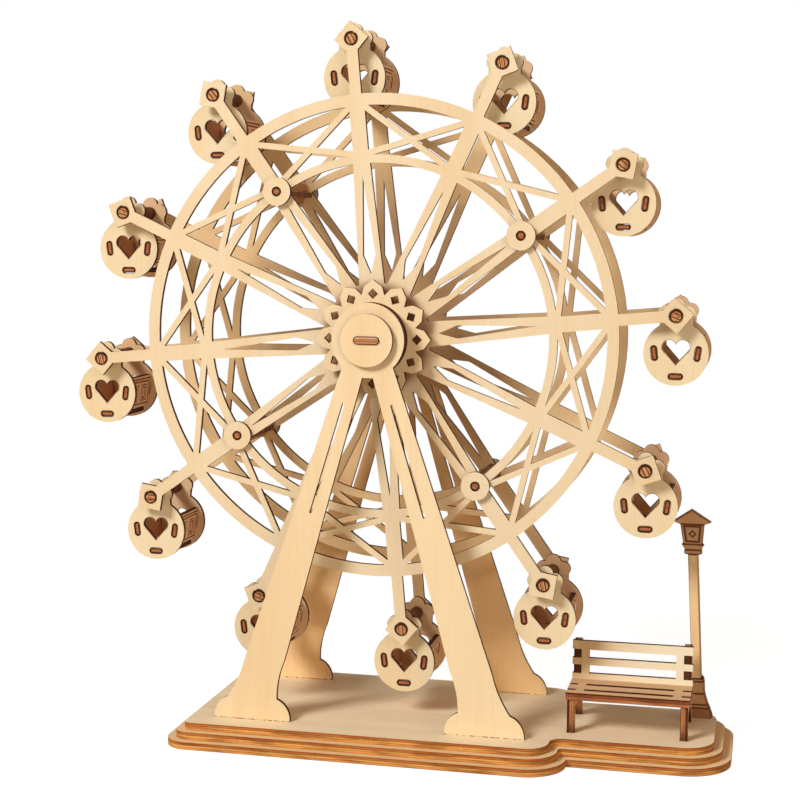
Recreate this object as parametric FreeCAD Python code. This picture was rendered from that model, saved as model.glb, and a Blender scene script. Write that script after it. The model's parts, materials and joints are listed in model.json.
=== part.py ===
import FreeCAD, Part
import math
import os
from FreeCAD import Vector

# Hand-cranked ferris wheel model, cut from flat plywood sheets.
# Millimetres. X runs along the base, Y from front to back, Z up.
# The origin is on the underside of the base, below the centre of the wheel.

# Stock and fits
sheet = 2.0                # wheel, gondola, lamp and A-frame stock
thick_sheet = 3.0          # base, bench and axle stock
tenon_gap = 0.1            # space round a tenon in its slot
running_gap = 0.3          # space between pieces that turn on each other
pin_stand_out = 0.5        # how far a pin end stands proud of the face it passes

# Base: three stacked layers, each lower one larger
layer_count = 3
layer_step = 3.4           # how far each lower layer reaches past the one above
deck_half_length = 73.5
deck_half_depth = 43.5
deck_left_radius = 3.0
deck_right_radius = 9.0
wing_end = 136.0           # right end of the narrow part that carries bench and lamp
wing_front = -27.4
wing_rear = 24.4
wing_end_radius = 12.0
wing_root_radius = 5.0     # inside corner where the wing meets the deck
smallest_radius = 0.5

# A-frames
ground_clearance = 9.8     # from the deck to the lowest gondola
frame_spread = 66.0        # over the outer faces of the two A-frames
head_radius = 14.6
head_below_axle = 8.0      # where the legs join the round head
crotch_below_axle = 14.8
crotch_half_width = 2.2
leg_top_half_width = 9.3
knee_lift = 25.0           # from the deck to where the leg edges start to curve
knee_middle = 42.4
knee_width = 16.7
ankle_lift = 9.0
ankle_middle = 47.6
ankle_width = 20.7
foot_middle = 47.7
foot_width = 31.8
shin_bow = 0.9             # how far the leg edge bows between knee and ankle
toe_round = 2.6            # how far the top of the foot bulges
foot_tenon_width = 10.6
leg_slit_drop = 25.4       # from the axle to the upper end of the slit
leg_slit_height = 43.4
leg_slit_share = 0.46      # where the slit lies between the leg's inner and outer edge
leg_slit_width = 1.0

# Axle and hub
axle_width = 10.4
bush_radius = 8.0
bearing_layers = 3         # A-frame head plus the rings behind it
hub_cap_radius = 10.4
thrust_washer_radius = 11.0
hub_disc_radius = 13.0
hub_disc_layers = 2        # between flower and wheel frame

# Flower plates on the hub
petal_count = 12
petal_tip_radius = 23.3
petal_shoulder_radius = 21.0
petal_shoulder_turn = 9.8  # degrees either side of the petal's middle
petal_notch_radius = 17.8
petal_hole_radius = 17.8   # where the diamond holes sit
petal_hole_half_diagonal = 2.1

# Wheel frames
spoke_count = 12
wheel_rest_turn = -5.3     # degrees from upright to the first spoke
rim_outer_radius = 96.3
rim_width = 4.6
inner_ring_radius = 72.4
inner_ring_width = 3.3
pivot_radius = 118.0
pivot_square_side = 9.8
spoke_tip_width = 4.5      # outside the rim
spoke_middle_width = 6.2   # between rim and inner ring
spoke_inner_width = 6.8    # where it leaves the inner ring
spoke_root_width = 10.4    # at the hub
wheel_hub_radius = 22.0
spoke_slit_outer = 64.2    # long kite-shaped opening inside each spoke
spoke_slit_middle = 33.0
spoke_slit_inner = 25.5
spoke_slit_width = 5.2
brace_width = 2.4

# Spacers that tie the two wheel frames together
spacer_every = 3           # every third spoke carries one
spacer_first = 2
spacer_strip_width = 8.0
spacer_tenon_width = 3.2
spacer_washer_radius = 5.7

# Gondolas
gondola_depth = 26.0       # over the two end plates
gondola_drop = 14.8        # from the pivot to the middle of the end plate
gondola_radius = 12.5
gondola_pin_radius = 2.55
lobe_radius = 3.2
side_lobe_offset = 4.0
side_lobe_rise = 0.6
top_lobe_rise = 3.4
neck_half_width = 6.4      # between the lobes and the round plate
heart_half_width = 5.2
heart_top = 5.2            # above the middle of the end plate
heart_dip = 3.4
heart_point = -4.4
heart_shoulder = 0.2
wall_offset = 8.3          # from the gondola's middle to the side wall
wall_tilt = 7.0            # degrees, the top leans outwards
wall_top = 6.0
wall_bottom = -7.0
wall_tenon_height = 5.4
wall_slot_play = 0.3
floor_level = -8.95
floor_width = 13.0
floor_tenon_width = 5.2

# Crank on the rear end of the axle
crank_throw = 27.0
crank_layers = 2
crank_hub_radius = 9.0
crank_end_radius = 5.6
crank_pin_radius = 2.4
knob_radius = 5.5
knob_layers = 6
knob_stop_radius = 4.2

# Bench
bench_from_wing_end = 9.5
bench_from_wing_front = 7.8
bench_length = 48.5
seat_depth = 21.4
seat_overhang = 0.6        # past the side frames, at the front and at both ends
seat_top = 16.5            # above the deck
seat_slot_width = 1.9
seat_slot_depths = (5.1, 13.2)  # from the front of the seat to the middle of a slot
seat_slot_inset = 7.0
seat_notch_length = 3.4
back_top = 32.3
back_window_inset = 6.8
back_window_bottoms = (18.9, 25.3)
back_window_height = 3.4
bench_foot_length = 3.4
bench_foot_spread = 29.2   # from the front of the front foot to the back of the rear one
bench_leg_width = 3.0
bench_rail_depth = 3.2
bench_post_width = 3.2

# Street lamp: a core board with a tenon in the deck and a smaller board on each face.
# Heights are above the deck.
lamp_from_wing_end = 7.8
lamp_from_wing_rear = 7.8
lamp_lean = 2.95           # degrees, towards the wheel
lamp_tenon_width = 6.0
lamp_face_inset = 0.5
lamp_apex = 86.0
roof_eave = 80.9
roof_half_width = 7.7
soffit_height = 80.1
soffit_half_width = 5.3
lantern_top_half_width = 4.9
collar_height = 71.9
lantern_bottom_half_width = 3.9
upper_collar_drop = 0.5
lamp_edge = 0.9            # height of the small upright edges on foot and collar
upper_collar_half_width = 4.5
lamp_neck_height = 69.7
lamp_neck_half_width = 3.4
lower_collar_half_width = 3.6
post_top = 67.8
post_half_width = 2.1
foot_collar_height = 16.6
foot_collar_half_width = 2.9
foot_block_height = 15.2
foot_block_half_width = 3.2
foot_block_bottom = 10.2
foot_flare_height = 5.6
foot_flare_half_width = 4.4
foot_base_height = 4.2
foot_base_top_half_width = 5.0
foot_base_half_width = 6.0

# Worked out from the above
deck_top = layer_count * thick_sheet
axle_height = deck_top + ground_clearance + pivot_radius + gondola_drop + gondola_radius
head_web_height = axle_height - head_below_axle
crotch_height = axle_height - crotch_below_axle
knee_height = deck_top + knee_lift
ankle_height = deck_top + ankle_lift
frame_outer_face = frame_spread / 2
bearing_length = bearing_layers * sheet
bearing_inner_face = frame_outer_face - bearing_length
bore_radius = bush_radius + running_gap
washer_outer_face = bearing_inner_face - running_gap
flower_outer_face = washer_outer_face - sheet
hub_disc_outer_face = flower_outer_face - sheet
wheel_outer_face = hub_disc_outer_face - hub_disc_layers * sheet
wheel_inner_face = wheel_outer_face - sheet
cap_outer_face = frame_outer_face + running_gap + sheet
pin_hole_radius = gondola_pin_radius + running_gap
spacer_tenon_radius = math.hypot(spacer_tenon_width, sheet) / 2
spacer_hole_radius = spacer_tenon_radius + tenon_gap
spacer_circle = inner_ring_radius - inner_ring_width / 2
spoke_turns = [wheel_rest_turn + 360 * k / spoke_count for k in range(spoke_count)]
bench_left = wing_end - bench_from_wing_end - bench_length
bench_front = wing_front + bench_from_wing_front
bench_back_front = bench_front + seat_depth
bench_frame_front = bench_front + seat_overhang
lamp_middle = wing_end - lamp_from_wing_end
lamp_behind_axle = wing_rear - lamp_from_wing_rear
crank_inner_face = cap_outer_face
crank_outer_face = crank_inner_face + crank_layers * sheet
knob_inner_face = crank_outer_face + running_gap
knob_outer_face = knob_inner_face + knob_layers * sheet


# Profiles lie in the XZ plane and are given their thickness along Y

def flat(x, z):
    return Vector(x, 0, z)


def profile(start, *steps):
    """Closed face. A step is the next corner, or a pair: a point on an arc and its end."""
    edges = []
    here = flat(*start)
    for step in steps + (start,):
        if isinstance(step[0], tuple):
            there = flat(*step[1])
            edges.append(Part.Arc(here, flat(*step[0]), there).toShape())
        else:
            there = flat(*step)
            edges.append(Part.LineSegment(here, there).toShape())
        here = there
    return Part.Face(Part.Wire(edges))


def plate(face, y, thickness=sheet):
    solid = face.extrude(Vector(0, thickness, 0))
    solid.translate(Vector(0, y, 0))
    return solid


def disc(radius, x, z, y, thickness=sheet):
    return Part.makeCylinder(radius, thickness, Vector(x, y, z), Vector(0, 1, 0))


def block(x, y, z, length, depth, height):
    """Box whose middle is at x, y, z."""
    corner = Vector(x - length / 2, y - depth / 2, z - height / 2)
    return Part.makeBox(length, depth, height, corner)


def fuse_all(solids):
    return solids[0].multiFuse(solids[1:]).removeSplitter()


def cut_all(solid, tools):
    return solid.cut(tools)


def straight_bar(start, end, width, y, thickness=sheet):
    """Flat bar between two points of the XZ plane."""
    across = (flat(*end) - flat(*start)).cross(Vector(0, 1, 0)).normalize() * (width / 2)
    corners = [flat(*start) + across, flat(*end) + across, flat(*end) - across, flat(*start) - across]
    return plate(profile(*[(corner.x, corner.z) for corner in corners]), y, thickness)


def round_slot(start, end, width, y, thickness=sheet):
    """Bar or slot cutter whose round ends are centred on the two points."""
    ends = [disc(width / 2, x, z, y, thickness) for x, z in (start, end)]
    return fuse_all([straight_bar(start, end, width, y, thickness)] + ends)


def pair_up(solids):
    """The solids and their mirror images at the rear."""
    return solids + [solid.mirror(Vector(0, 0, 0), Vector(0, 1, 0)) for solid in solids]


def write(node, solids):
    shape = solids[0] if len(solids) == 1 else Part.makeCompound(solids)
    shape.exportStep("parts/" + node + ".step")


def on_wheel(radius, aside, turn):
    """Point at a radius from the hub and a distance aside, on a spoke turned from upright."""
    angle = math.radians(turn)
    x = radius * math.sin(angle) + aside * math.cos(angle)
    z = radius * math.cos(angle) - aside * math.sin(angle)
    return (x, axle_height + z)


def axle_section(gap, y, thickness):
    """The flat axle with its round edges, or with a gap the slot for it."""
    height = thick_sheet + 2 * gap
    half_run = (axle_width - thick_sheet) / 2
    return round_slot((-half_run, axle_height), (half_run, axle_height), height, y, thickness)


def keyed_disc(radius, y):
    return disc(radius, 0, axle_height, y).cut(axle_section(tenon_gap, y, sheet))


# Base

def rounded_slab(x_low, x_high, y_low, y_high, z, radii):
    """Slab with its own radius at the left pair and at the right pair of corners."""
    slab = Part.makeBox(x_high - x_low, y_high - y_low, thick_sheet, Vector(x_low, y_low, z))
    for x, radius in ((x_low, radii[0]), (x_high, radii[1])):
        if radius > 0:
            slab = slab.makeFillet(radius, upright_edges(slab, x, (y_low, y_high)))
    return slab


def upright_edges(solid, x, ys):
    found = []
    for edge in solid.Edges:
        ends = [vertex.Point for vertex in edge.Vertexes]
        if len(ends) < 2 or abs(ends[0].z - ends[1].z) < thick_sheet / 2:
            continue
        middle = edge.CenterOfMass
        if abs(middle.x - x) < sheet / 10 and min(abs(middle.y - y) for y in ys) < sheet / 10:
            found.append(edge)
    return found


def base_layer(level):
    """Level 0 is the deck, and the levels below it are larger."""
    grow = level * layer_step
    z = deck_top - (level + 1) * thick_sheet
    deck_end = deck_half_length + grow
    radii = (deck_left_radius + grow, deck_right_radius + grow)
    deck = rounded_slab(-deck_end, deck_end, -deck_half_depth - grow, deck_half_depth + grow, z, radii)
    wing_ys = (wing_front - grow, wing_rear + grow)
    wing = rounded_slab(0, wing_end + grow, *wing_ys, z, (0, wing_end_radius + grow))
    layer = fuse_all([deck, wing])
    root_radius = max(wing_root_radius - grow, smallest_radius)
    return layer.makeFillet(root_radius, upright_edges(layer, deck_end, wing_ys))


def deck():
    z = deck_top - thick_sheet / 2
    foot_slot = foot_tenon_width + 2 * tenon_gap
    slots = []
    for x in (-foot_middle, foot_middle):
        for side in (-1, 1):
            middle = side * (frame_outer_face - sheet / 2)
            slots.append(block(x, middle, z, foot_slot, sheet + 2 * tenon_gap, thick_sheet))
    for x in bench_frame_middles():
        for y in bench_foot_middles():
            width = thick_sheet + 2 * tenon_gap
            slots.append(block(x, y, z, width, bench_tenon_length() + 2 * tenon_gap, thick_sheet))
    lamp_slot = lamp_tenon_width + 2 * tenon_gap
    slots.append(block(lamp_middle, lamp_behind_axle, z, lamp_slot, sheet + 2 * tenon_gap, thick_sheet))
    return cut_all(base_layer(0), slots)


# A-frames

def half_a_frame():
    """Right half, from the middle of the head down the leg to the foot."""
    shin_middle = (knee_height + ankle_height) / 2
    toe_height = (deck_top + ankle_height) / 2
    knee, ankle, foot = [
        (middle - width / 2, middle + width / 2)
        for middle, width in ((knee_middle, knee_width), (ankle_middle, ankle_width), (foot_middle, foot_width))]
    inner_bow = ((knee[0] + ankle[0]) / 2 + shin_bow, shin_middle)
    outer_bow = ((knee[1] + ankle[1]) / 2 - shin_bow, shin_middle)
    inner_toe = ((ankle[0] + foot[0]) / 2 - toe_round / 2, toe_height + toe_round / 2)
    outer_toe = ((ankle[1] + foot[1]) / 2 + toe_round / 2, toe_height + toe_round / 2)
    return profile(
        (0, crotch_height),
        (crotch_half_width, crotch_height),
        (knee[0], knee_height),
        (inner_bow, (ankle[0], ankle_height)),
        (inner_toe, (foot[0], deck_top)),
        (foot[1], deck_top),
        (outer_toe, (ankle[1], ankle_height)),
        (outer_bow, (knee[1], knee_height)),
        (leg_top_half_width, head_web_height),
        (0, head_web_height))


def leg_middle(z):
    """Where the slit lies across the leg at a height."""
    inner_slope = (knee_middle - knee_width / 2 - crotch_half_width) / (crotch_height - knee_height)
    outer_slope = (knee_middle + knee_width / 2 - leg_top_half_width) / (head_web_height - knee_height)
    inner = crotch_half_width + inner_slope * (crotch_height - z)
    outer = leg_top_half_width + outer_slope * (head_web_height - z)
    return inner + leg_slit_share * (outer - inner)


def leg_slit(side, y):
    """Narrow slot along a leg."""
    top = axle_height - leg_slit_drop
    ends = [(side * leg_middle(z), z) for z in (top, top - leg_slit_height)]
    return round_slot(*ends, leg_slit_width, y)


def a_frame():
    y = -frame_outer_face
    right = plate(half_a_frame(), y)
    left = right.mirror(Vector(0, 0, 0), Vector(1, 0, 0))
    head = disc(head_radius, 0, axle_height, y)
    tenons = []
    for x in (-foot_middle, foot_middle):
        tenons.append(block(x, y + sheet / 2, deck_top - thick_sheet / 2, foot_tenon_width, sheet, thick_sheet))
    body = fuse_all([right, left, head] + tenons)
    return cut_all(body, [disc(bore_radius, 0, axle_height, y), leg_slit(1, y), leg_slit(-1, y)])


def bearing_rings():
    rings = []
    for layer in range(1, bearing_layers):
        y = -frame_outer_face + layer * sheet
        rings.append(disc(head_radius, 0, axle_height, y).cut(disc(bore_radius, 0, axle_height, y)))
    return rings


# Hub

def axle():
    front = -cap_outer_face - pin_stand_out
    rear = crank_outer_face + pin_stand_out
    return axle_section(0, front, rear - front)


def hub_bushes():
    return [keyed_disc(bush_radius, -frame_outer_face + k * sheet) for k in range(bearing_layers)]


def hub_discs():
    washer = keyed_disc(thrust_washer_radius, -washer_outer_face)
    discs = [keyed_disc(hub_disc_radius, -hub_disc_outer_face + k * sheet) for k in range(hub_disc_layers)]
    return [washer] + discs


def flower():
    y = -flower_outer_face
    corners = []
    holes = []
    step = 360 / petal_count
    for k in range(petal_count):
        turn = k * step
        corners.append(on_wheel(petal_notch_radius, 0, turn - step / 2))
        corners.append(on_wheel(petal_shoulder_radius, 0, turn - petal_shoulder_turn))
        corners.append(on_wheel(petal_tip_radius, 0, turn))
        corners.append(on_wheel(petal_shoulder_radius, 0, turn + petal_shoulder_turn))
        holes.append(plate(diamond(petal_hole_radius, petal_hole_half_diagonal, turn), y))
    return cut_all(plate(profile(*corners), y), holes + [axle_section(tenon_gap, y, sheet)])


def diamond(radius, half_diagonal, turn):
    return profile(
        on_wheel(radius + half_diagonal, 0, turn),
        on_wheel(radius, half_diagonal, turn),
        on_wheel(radius - half_diagonal, 0, turn),
        on_wheel(radius, -half_diagonal, turn))


# Wheel frames

def bar(turn, inner_radius, inner_width, outer_radius, outer_width):
    """Straight bar along a spoke, with its own width at each end."""
    return plate(profile(
        on_wheel(inner_radius, -inner_width / 2, turn),
        on_wheel(inner_radius, inner_width / 2, turn),
        on_wheel(outer_radius, outer_width / 2, turn),
        on_wheel(outer_radius, -outer_width / 2, turn)), -wheel_outer_face)


def flat_ring(outer_radius, width):
    y = -wheel_outer_face
    return disc(outer_radius, 0, axle_height, y).cut(disc(outer_radius - width, 0, axle_height, y))


def spoke(turn):
    ring_middle = inner_ring_radius - inner_ring_width / 2
    rim_middle = rim_outer_radius - rim_width / 2
    square = diamond(pivot_radius, pivot_square_side / math.sqrt(2), turn)
    return [
        bar(turn, petal_notch_radius, spoke_root_width, ring_middle, spoke_inner_width),
        bar(turn, ring_middle, spoke_middle_width, rim_middle, spoke_middle_width),
        bar(turn, rim_middle, spoke_tip_width, pivot_radius, spoke_tip_width),
        plate(square, -wheel_outer_face)]


def brace(turn, side):
    """Bar across a cell, from one spoke at the rim to the next at the inner ring."""
    start = on_wheel(rim_outer_radius - rim_width / 2, 0, turn)
    end = on_wheel(inner_ring_radius, 0, turn + side * 360 / spoke_count)
    return straight_bar(start, end, brace_width, -wheel_outer_face)


def spoke_slit(turn):
    return plate(profile(
        on_wheel(spoke_slit_outer, 0, turn),
        on_wheel(spoke_slit_middle, spoke_slit_width / 2, turn),
        on_wheel(spoke_slit_inner, 0, turn),
        on_wheel(spoke_slit_middle, -spoke_slit_width / 2, turn)), -wheel_outer_face)


def wheel_frame():
    y = -wheel_outer_face
    solids = [flat_ring(rim_outer_radius, rim_width), flat_ring(inner_ring_radius, inner_ring_width)]
    solids.append(disc(wheel_hub_radius, 0, axle_height, y))
    cuts = [axle_section(tenon_gap, y, sheet)]
    for k, turn in enumerate(spoke_turns):
        solids += spoke(turn)
        solids += [brace(turn, 1), brace(turn, -1)]
        cuts.append(spoke_slit(turn))
        cuts.append(disc(pin_hole_radius, *on_wheel(pivot_radius, 0, turn), y))
        if k % spacer_every == spacer_first:
            cuts.append(disc(spacer_hole_radius, *on_wheel(spacer_circle, 0, turn), y))
    return cut_all(fuse_all(solids), cuts)


# Spacers between the wheel frames

def spacer_strip(turn, crossing):
    """One of two strips that are slotted together into a cross, with a tenon at each end."""
    reach = wheel_outer_face + sheet
    middle = flat(*on_wheel(spacer_circle, 0, turn))
    body = block(0, 0, 0, sheet, 2 * wheel_inner_face, spacer_strip_width)
    tenon = block(0, 0, 0, sheet, 2 * reach, spacer_tenon_width)
    half_slot = block(0, -crossing * reach / 2, 0, sheet, reach, sheet + 2 * tenon_gap)
    strip = fuse_all([body, tenon]).cut(half_slot)
    strip.rotate(Vector(0, 0, 0), Vector(0, 1, 0), turn + 45 * crossing)
    strip.translate(middle)
    return strip


def spacer_strips():
    turns = spoke_turns[spacer_first::spacer_every]
    return [spacer_strip(turn, crossing) for turn in turns for crossing in (1, -1)]


def spacer_washers():
    washers = []
    y = -wheel_outer_face - sheet
    for turn in spoke_turns[spacer_first::spacer_every]:
        x, z = on_wheel(spacer_circle, 0, turn)
        washers.append(disc(spacer_washer_radius, x, z, y).cut(disc(spacer_hole_radius, x, z, y)))
    return washers


# Gondolas, made round a pivot at the origin and then hung in place

def heart_face():
    lobe_middle = heart_half_width / 2
    return profile(
        (0, heart_point),
        (heart_half_width, heart_shoulder + lobe_middle / 2),
        ((lobe_middle, heart_top), (0, heart_dip)),
        ((-lobe_middle, heart_top), (-heart_half_width, heart_shoulder + lobe_middle / 2)))


def gondola_slot(tenon_length, x, z, turn):
    """Round-ended slot for a wall or floor tenon, turned from upright."""
    width = sheet + 2 * wall_slot_play
    half_run = (tenon_length + 2 * wall_slot_play - width) / 2
    cutter = round_slot((0, -half_run), (0, half_run), width, -gondola_depth / 2)
    cutter.rotate(Vector(0, 0, 0), Vector(0, 1, 0), turn)
    cutter.translate(Vector(x, 0, z - gondola_drop))
    return cutter


def end_plate():
    y = -gondola_depth / 2
    lobes = [(side_lobe_offset, side_lobe_rise), (-side_lobe_offset, side_lobe_rise), (0, top_lobe_rise)]
    neck_height = gondola_drop + side_lobe_rise
    neck_middle = side_lobe_rise - neck_height / 2
    solids = [
        disc(gondola_radius, 0, -gondola_drop, y),
        block(0, y + sheet / 2, neck_middle, 2 * neck_half_width, sheet, neck_height)]
    solids += [disc(lobe_radius, x, z, y) for x, z in lobes]
    heart = plate(heart_face(), y)
    heart.translate(Vector(0, 0, -gondola_drop))
    pin_hole = disc(gondola_pin_radius + tenon_gap, 0, 0, y)
    slots = [gondola_slot(wall_tenon_height, side * wall_offset, 0, side * wall_tilt) for side in (1, -1)]
    slots.append(gondola_slot(floor_tenon_width, 0, floor_level, 90))
    return cut_all(fuse_all(solids), [heart, pin_hole] + slots)


def gondola_wall(side):
    inner_depth = gondola_depth - 2 * sheet
    panel_middle = (wall_top + wall_bottom) / 2
    panel = block(0, 0, panel_middle, sheet, inner_depth, wall_top - wall_bottom)
    tenon = block(0, 0, 0, sheet, gondola_depth, wall_tenon_height)
    wall = fuse_all([panel, tenon])
    wall.rotate(Vector(0, 0, 0), Vector(0, 1, 0), side * wall_tilt)
    wall.translate(Vector(side * wall_offset, 0, -gondola_drop))
    return wall


def gondola_floor():
    inner_depth = gondola_depth - 2 * sheet
    z = floor_level - gondola_drop
    panel = block(0, 0, z, floor_width, inner_depth, sheet)
    tenon = block(0, 0, z, floor_tenon_width, gondola_depth, sheet)
    return fuse_all([panel, tenon])


def gondola_pin():
    """Round pin laminated from three strips."""
    reach = wheel_outer_face + pin_stand_out
    pin = disc(gondola_pin_radius, 0, 0, -reach, 2 * reach)
    strip = 2 * gondola_pin_radius / 3
    core = block(0, 0, 0, 2 * gondola_pin_radius, 2 * reach, strip)
    strips = [pin.common(core)]
    for side in (-1, 1):
        outer = core.copy()
        outer.translate(Vector(0, 0, side * strip))
        strips.append(pin.common(outer))
    return strips


def hang(solids, turn):
    placed = []
    for solid in solids:
        copy = solid.copy()
        copy.translate(flat(*on_wheel(pivot_radius, 0, turn)))
        placed.append(copy)
    return placed


def write_gondolas():
    plates = pair_up([end_plate()])
    cabin = [gondola_wall(1), gondola_wall(-1), gondola_floor()]
    pin = gondola_pin()
    for k, turn in enumerate(spoke_turns):
        name = "gondola_%02d_" % (k + 1)
        write(name + "end_plates", hang(plates, turn))
        write(name + "walls_and_floor", hang(cabin, turn))
        write(name + "pin", hang(pin, turn))


# Crank

def crank_arm():
    """Arm of stacked layers, pointing to the left, keyed on the axle."""
    layers = []
    for k in range(crank_layers):
        y = crank_inner_face + k * sheet
        hub = disc(crank_hub_radius, 0, axle_height, y)
        end = disc(crank_end_radius, -crank_throw, axle_height, y)
        web = plate(profile(
            (0, axle_height - crank_hub_radius),
            (0, axle_height + crank_hub_radius),
            (-crank_throw, axle_height + crank_end_radius),
            (-crank_throw, axle_height - crank_end_radius)), y)
        pin_hole = disc(crank_pin_radius + tenon_gap, -crank_throw, axle_height, y)
        layers.append(cut_all(fuse_all([hub, end, web]), [axle_section(tenon_gap, y, sheet), pin_hole]))
    return layers


def crank_pin():
    """Pin through the arm, with a stop disc that keeps the knob on."""
    end = knob_outer_face + running_gap
    length = end + sheet - crank_inner_face
    pin = disc(crank_pin_radius, -crank_throw, axle_height, crank_inner_face, length)
    stop = disc(knob_stop_radius, -crank_throw, axle_height, end)
    stop = stop.cut(disc(crank_pin_radius + tenon_gap, -crank_throw, axle_height, end))
    return [pin, stop]


def crank_knob():
    layers = []
    for k in range(knob_layers):
        y = knob_inner_face + k * sheet
        bore = disc(crank_pin_radius + running_gap, -crank_throw, axle_height, y)
        layers.append(disc(knob_radius, -crank_throw, axle_height, y).cut(bore))
    return layers


# Bench

def bench_frame_middles():
    inset = seat_overhang + thick_sheet / 2
    return (bench_left + inset, bench_left + bench_length - inset)


def bench_foot_middles():
    front = bench_frame_front + bench_foot_length / 2
    return (front, front + bench_foot_spread - bench_foot_length)


def bench_tenon_length():
    return bench_foot_length - sheet / 2


def bench_seat():
    middle = bench_left + bench_length / 2
    z = deck_top + seat_top - thick_sheet / 2
    seat = block(middle, bench_front + seat_depth / 2, z, bench_length, seat_depth, thick_sheet)
    cuts = []
    for slot_depth in seat_slot_depths:
        y = bench_front + slot_depth
        cuts.append(block(middle, y, z, bench_length - 2 * seat_slot_inset, seat_slot_width, thick_sheet))
        for side in (-1, 1):
            x = middle + side * (bench_length - seat_notch_length) / 2
            cuts.append(block(x, y, z, seat_notch_length, seat_slot_width, thick_sheet))
    return cut_all(seat, cuts)


def bench_back():
    middle = bench_left + bench_length / 2
    y = bench_back_front + sheet / 2
    rail_top = seat_top - thick_sheet
    height = back_top - rail_top
    back = block(middle, y, deck_top + rail_top + height / 2, bench_length, sheet, height)
    cuts = []
    for low in back_window_bottoms:
        z = deck_top + low + back_window_height / 2
        cuts.append(block(middle, y, z, bench_length - 2 * back_window_inset, sheet, back_window_height))
        for side in (-1, 1):
            notch = seat_overhang + thick_sheet + tenon_gap
            x = middle + side * (bench_length - notch) / 2
            cuts.append(block(x, y, z, notch, sheet, back_window_height + 2 * tenon_gap))
    return cut_all(back, cuts)


def bench_frame(x):
    """Side frame: two raked legs, a seat rail and a post with two tenons for the back."""
    rail_top = deck_top + seat_top - thick_sheet
    rail_bottom = rail_top - bench_rail_depth
    front_toe = bench_frame_front
    rear_toe = bench_frame_front + bench_foot_spread
    post_front = bench_back_front + sheet
    post_rear = post_front + bench_post_width
    frame = profile(
        (front_toe, deck_top),
        (front_toe + bench_foot_length, deck_top),
        (bench_frame_front + bench_leg_width, rail_bottom),
        (post_front - bench_leg_width, rail_bottom),
        (rear_toe - bench_foot_length, deck_top),
        (rear_toe, deck_top),
        (post_rear, rail_bottom),
        (post_rear, deck_top + back_top),
        (post_front, deck_top + back_top),
        (post_front, rail_top),
        (bench_frame_front, rail_top))
    body = plate(frame, 0, thick_sheet)
    tenons = []
    for low in back_window_bottoms:
        z = deck_top + low + back_window_height / 2
        tenons.append(block(post_front, thick_sheet / 2, z, 2 * sheet, thick_sheet, back_window_height))
    for y in bench_foot_middles():
        z = deck_top - thick_sheet / 2
        tenons.append(block(y, thick_sheet / 2, z, bench_tenon_length(), thick_sheet, thick_sheet))
    solid = fuse_all([body] + tenons)
    solid.rotate(Vector(0, 0, 0), Vector(0, 0, 1), 90)
    solid.translate(Vector(x + thick_sheet / 2, 0, 0))
    return solid


# Street lamp

def lamp_face(inset):
    """Outline of the lamp, drawn in by the inset."""
    corners = [
        (foot_base_half_width, 0),
        (foot_base_half_width, lamp_edge),
        (foot_base_top_half_width, foot_base_height),
        (foot_flare_half_width, foot_flare_height),
        (foot_block_half_width, foot_block_bottom),
        (foot_block_half_width, foot_block_height),
        (foot_collar_half_width, foot_collar_height),
        (post_half_width, foot_collar_height),
        (post_half_width, post_top),
        (lower_collar_half_width, post_top),
        (lower_collar_half_width, lamp_neck_height - lamp_edge),
        (lamp_neck_half_width, lamp_neck_height),
        (upper_collar_half_width, collar_height - upper_collar_drop),
        (lantern_bottom_half_width, collar_height),
        (lantern_top_half_width, soffit_height),
        (soffit_half_width, soffit_height),
        (roof_half_width, roof_eave)]
    right = [(x - inset, z) for x, z in corners]
    left = [(-x, z) for x, z in reversed(right)]
    outline = right + [(0, lamp_apex - inset)] + left
    slope = math.tan(math.radians(lamp_lean))
    return profile(*[(lamp_middle + x - slope * z, deck_top + z) for x, z in outline])


def lamp_core():
    tenon = block(lamp_middle, lamp_behind_axle, deck_top - thick_sheet / 2,
                  lamp_tenon_width, sheet, thick_sheet)
    return fuse_all([plate(lamp_face(0), lamp_behind_axle - sheet / 2), tenon])


def lamp_faces():
    front = lamp_behind_axle - sheet * 3 / 2
    rear = lamp_behind_axle + sheet / 2
    return [plate(lamp_face(lamp_face_inset), y) for y in (front, rear)]


os.makedirs("parts", exist_ok=True)
write("base_deck", [deck()])
write("base_middle_layer", [base_layer(1)])
write("base_bottom_layer", [base_layer(2)])

for name, piece in (("a_frame", a_frame()), ("wheel_frame", wheel_frame()), ("flower", flower())):
    for place, solid in zip(("front_", "rear_"), pair_up([piece])):
        write(place + name, [solid])

write("bearing_rings", pair_up(bearing_rings()))
write("axle", [axle()])
write("hub_bushes", pair_up(hub_bushes()))
write("hub_caps", pair_up([keyed_disc(hub_cap_radius, -cap_outer_face)]))
write("hub_discs", pair_up(hub_discs()))
write("spacer_strips", spacer_strips())
write("spacer_washers", pair_up(spacer_washers()))
write("crank_arm", crank_arm())
write("crank_pin", crank_pin())
write("crank_knob", crank_knob())
write_gondolas()

write("bench_seat", [bench_seat()])
write("bench_back", [bench_back()])
write("bench_frames", [bench_frame(x) for x in bench_frame_middles()])
write("lamp_core", [lamp_core()])
write("lamp_faces", lamp_faces())
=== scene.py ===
import json
import math

import bpy
from mathutils import Euler, Matrix, Vector


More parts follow.
